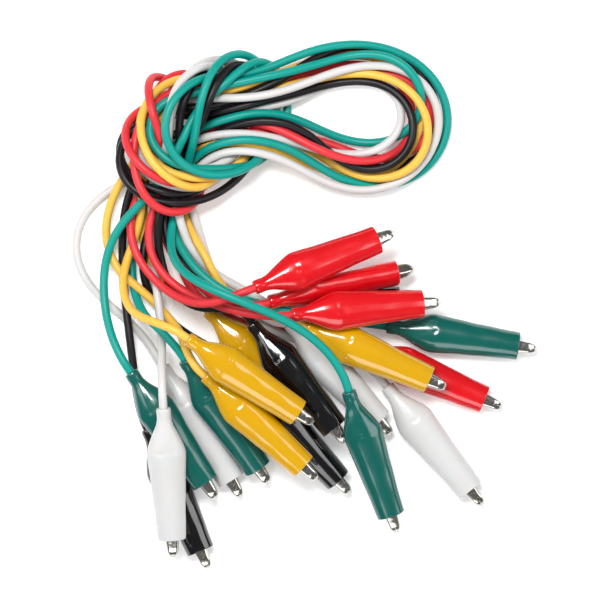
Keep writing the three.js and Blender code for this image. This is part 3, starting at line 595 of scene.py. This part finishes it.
def boot_mesh(seed):
    shape = boot_skin(seed)
    first, last = BOOT_SECTIONS[0][0], BOOT_SECTIONS[-1][0]
    xs = [first + (last - first) * i / BOOT_LENGTH_STEPS for i in range(BOOT_LENGTH_STEPS + 1)]
    rings = []
    # The outside from the neck to the mouth, the rounded lip, then the inside back to the neck.
    rings.append([(first, y * NECK_EDGE, z * NECK_EDGE) for _, y, z in boot_ring(first, 0, shape)])
    rings += [boot_ring(x, 0, shape) for x in xs[1:-1]]
    mouth = boot_ring(last, 0, shape)
    rings.append([(last - BOOT_LIP, y, z) for _, y, z in mouth])
    for turn in (0.35, 0.75, 1.0):
        back = BOOT_LIP * (1 - math.sin(turn * math.pi / 2))
        inwards = BOOT_LIP * (1 - math.cos(turn * math.pi / 2))
        rings.append([(last - back, y, z) for _, y, z in boot_ring(last, inwards, shape)])
    for turn in (0.3, 0.7, 1.0):
        back = BOOT_LIP * (1 - math.cos(turn * math.pi / 2))
        inwards = BOOT_WALL - BOOT_LIP * (1 - math.sin(turn * math.pi / 2))
        rings.append([(last - back, y, z) for _, y, z in boot_ring(last, inwards, shape)])
    inner = [x for x in reversed(xs) if x < last - 1][::4]
    for x in inner:
        wall = BOOT_WALL if x > NECK_X else boot_size(x)[0] - NECK_BORE
        rings.append(boot_ring(x, wall, shape))
    end_wall = boot_size(first)[0] - NECK_END_BORE
    rings.append([(first, y, z) for _, y, z in boot_ring(first, end_wall, shape)])
    vertices, faces = loft(rings, closed_ends=False)
    count = BOOT_SIDES
    base = (len(rings) - 1) * count
    for j in range(count):
        k = (j + 1) % count
        faces.append((base + j, base + k, k, j))
    return vertices, faces


def along(table, x):
    """A value read from (place, value) pairs at x."""
    places, values = zip(*table)
    return float(np.interp(x, places, values))


def nose_share(x):
    """How much of its full size the nose keeps as it rounds off at the tip."""
    t = max(0, (x - NOSE_X + NOSE_ROUND) / NOSE_ROUND)
    return math.sqrt(max(0.06, 1 - t**2))


def jaw_top(x):
    """How far a jaw's back stands off the parting line."""
    return along(JAW_BACK, x) * (0.2 + 0.8 * nose_share(x))


def jaw_half_width(x):
    return along(JAW_PLAN, x) * nose_share(x)


def tooth(x):
    """The zigzag of the parting line: 0 behind the teeth, then up and down."""
    if x < TEETH_X or x > TEETH_END_X:
        return 0.0
    phase = (x - TEETH_X) / TOOTH_PITCH % 1
    return TOOTH_HEIGHT * (1 - 4 * abs(phase - 0.5))


def jaw_edge(x, side):
    """How far the edge of a jaw's side walls stands off the parting line, on the jaw's own side."""
    return along(JAW_REAR, x) if x < JAW_REAR_X else TOOTH_GAP + side * tooth(x)


def jaw_ring(x, side):
    """A section of a jaw: a channel with a rounded back, its open side on the parting line."""
    half, top, edge = jaw_half_width(x), jaw_top(x), jaw_edge(x, side)
    sheet = min(JAW_SHEET, half * 0.4, top * 0.4)
    # Only the edge row follows the teeth, so the walls above it stay smooth.
    wall_start = min(max(edge, TOOTH_GAP + TOOTH_HEIGHT), 0.8 * (top - sheet))
    outline = []
    for inset, steps in ((0, range(JAW_ARC + 1)), (sheet, range(JAW_ARC, -1, -1))):
        for i in steps:
            angle = math.pi * i / JAW_ARC
            c, s = math.cos(angle), math.sin(angle)
            y = math.copysign(abs(c) ** JAW_SQUARE, c) * (half - inset)
            z = wall_start + s**JAW_SQUARE * (top - inset - wall_start)
            if i in (0, JAW_ARC):
                z = min(edge, wall_start)
            outline.append((x, y, z * side))
    return outline if side > 0 else outline[::-1]


def jaw_mesh(side):
    """A jaw and its handle, pressed from sheet. side is 1 for the moving jaw and -1 for the fixed jaw."""
    half_teeth = int((TEETH_END_X - TEETH_X) / TOOTH_PITCH * 2)
    teeth_end = TEETH_X + TOOTH_PITCH / 2 * half_teeth
    xs = list(np.linspace(HANDLE_X, TEETH_X, 24))
    xs += [TEETH_X + TOOTH_PITCH / 4 * i for i in range(1, 2 * half_teeth + 1)]
    xs += [teeth_end + (NOSE_X - teeth_end) * math.sin(i / 7 * math.pi / 2) for i in range(1, 8)]
    return loft([jaw_ring(x, side) for x in xs])


def turned(profile, sides):
    """A solid turned about the clip's Y axis from (radius, y) pairs."""
    rings = []
    for radius, y in profile:
        ring = []
        for j in range(sides):
            angle = 2 * math.pi * j / sides
            ring.append((radius * math.cos(angle), y, -radius * math.sin(angle)))
        rings.append(ring)
    return loft(rings)


def pin_mesh():
    """The pivot pin, with a domed head at each end."""
    half = JAW_HALF_WIDTH + PIN_GAP
    profile = [(radius, -half - out) for radius, out in PIN_HEAD]
    profile.append((PIN_RADIUS, -half))
    profile += [(radius, -y) for radius, y in reversed(profile)]
    return turned(profile, 24)


def tube_along(points, radius, sides):
    """A round bar along a list of points."""
    points = [Vector(p) for p in points]
    rings = []
    normal = None
    for i, p in enumerate(points):
        forward = (points[min(i + 1, len(points) - 1)] - points[max(i - 1, 0)]).normalized()
        if normal is None:
            normal = forward.orthogonal().normalized()
        normal = (normal - forward * normal.dot(forward)).normalized()
        other = forward.cross(normal)
        angles = [2 * math.pi * j / sides for j in range(sides)]
        rings.append([tuple(p + radius * (math.cos(a) * normal + math.sin(a) * other)) for a in angles])
    return loft(rings)


def spring_mesh():
    """A torsion spring, with a leg under each handle."""
    half = SPRING_HALF_LENGTH
    steps = SPRING_TURNS * SPRING_STEPS
    points = [(-8.5, -half, 3.1), (-4, -half, 1.9)]
    for i in range(steps + 1):
        angle = 2 * math.pi * i / SPRING_STEPS + math.pi * 0.6
        y = -half + 2 * half * i / steps
        points.append((SPRING_RADIUS * math.cos(angle), y, SPRING_RADIUS * math.sin(angle)))
    points += [(-4, half, -1.9), (-8.5, half, -3.1)]
    return tube_along(points, SPRING_WIRE, 8)


def crimp_mesh():
    """A rolled barrel that grips the wire's end, with a tongue to the fixed jaw's handle."""
    rings = []
    for x, radius in CRIMP_BARREL:
        angles = np.linspace(CRIMP_SEAM, 2 * math.pi - CRIMP_SEAM, CRIMP_ARC)
        ring = [(radius, a) for a in angles]
        ring += [(radius - CRIMP_SHEET, a) for a in reversed(angles)]
        rings.append([(x, r * math.sin(a), r * math.cos(a)) for r, a in ring])
    vertices, faces = loft(rings)
    tongue = []
    for x, top, half in CRIMP_TONGUE:
        low = top - TONGUE_SHEET
        tongue.append([(x, -half, top), (x, half, top), (x, half, low), (x, -half, low)])
    more_vertices, more_faces = loft(tongue)
    base = len(vertices)
    return vertices + more_vertices, faces + [tuple(base + i for i in f) for f in more_faces]


def strands_mesh():
    """The bare copper strands inside the crimp."""
    vertices, faces = [], []
    for k in range(STRANDS_ROUND + 1):
        ring = STRAND_RING if k else 0.0
        points = []
        for i in range(STRAND_STEPS):
            angle = 2 * math.pi * k / STRANDS_ROUND + i * STRAND_TWIST
            x = WIRE_END_X + STRAND_RADIUS + i * STRAND_STEP
            points.append((x, ring * math.cos(angle), ring * math.sin(angle)))
        part_vertices, part_faces = tube_along(points, STRAND_RADIUS, 8)
        base = len(vertices)
        vertices += part_vertices
        faces += [tuple(base + i for i in f) for f in part_faces]
    return vertices, faces


# ---------------------------------------------------------------- clips


def sharpen(piece, degrees):
    """Shade the edges between faces that meet at more than this angle as sharp."""
    piece.data.set_sharp_from_angle(angle=math.radians(degrees))
    return piece


def make_clip(clip, joint, matrix, number):
    """All pieces of one clip, in place of its CAD nodes. number seeds the boot's unevenness."""
    colour, lead, end = clip.split("_")
    body = joint["child"]
    label = f"{colour}_{lead}"
    whole = f"{label}_boot_{end}" in frame["nodes"]
    shell = f"{label}_boot_{end}" if whole else f"{label}_boot_and_fixed_jaw_{end}"

    def add(kind, made, material, slot, node=None):
        piece = add_piece(f"{clip}_{kind}", *made, matrix, material, slot)
        if node:
            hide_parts(node)
        return piece

    boot = add("boot_skin", boot_mesh(number), BOOT_MATERIALS[colour], colour + "_boot", shell)
    jaw_node = f"{label}_fixed_jaw_{end}" if whole else shell
    fixed = sharpen(add("jaw_fixed", jaw_mesh(-1), NICKEL, "nickel", jaw_node), 35)
    moving = sharpen(add("jaw_moving", jaw_mesh(1), NICKEL, "nickel", f"{label}_moving_jaw_{end}"), 35)
    pin_node, spring_node, strands_node = None, None, None
    if whole:
        pin_node = f"{label}_pivot_pin_{end}"
        spring_node = f"{label}_torsion_spring_{end}"
        strands_node = f"{label}_conductor_{end}"
    pin = sharpen(add("pin", pin_mesh(), STEEL, "steel", pin_node), 40)
    spring = add("spring", spring_mesh(), STEEL, "steel", spring_node)
    crimp = sharpen(add("crimp", crimp_mesh(), NICKEL, "nickel"), 35)
    strands = add("strands", strands_mesh(), COPPER, "copper", strands_node)

    for piece in (fixed, pin, crimp, strands):
        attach(piece, ROOT)
    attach(moving, body)
    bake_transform(spring)
    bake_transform(boot)


# ---------------------------------------------------------------- the scene

make_camera()
lines = {}
for node in sorted(frame["nodes"]):
    if node.endswith("_wire"):
        lines[node[: -len("_wire")]] = smooth_line(centreline(node))
lines = relax(lines)
for lead, line in lines.items():
    make_wire(lead, line)

for number, joint in enumerate(frame["joints"]):
    clip = joint["name"][: -len("_opening")]
    line = lines[clip[:-2]]
    make_clip(clip, joint, clip_matrix(joint, (line[0], line[-1])), number)

make_light()
make_floor()
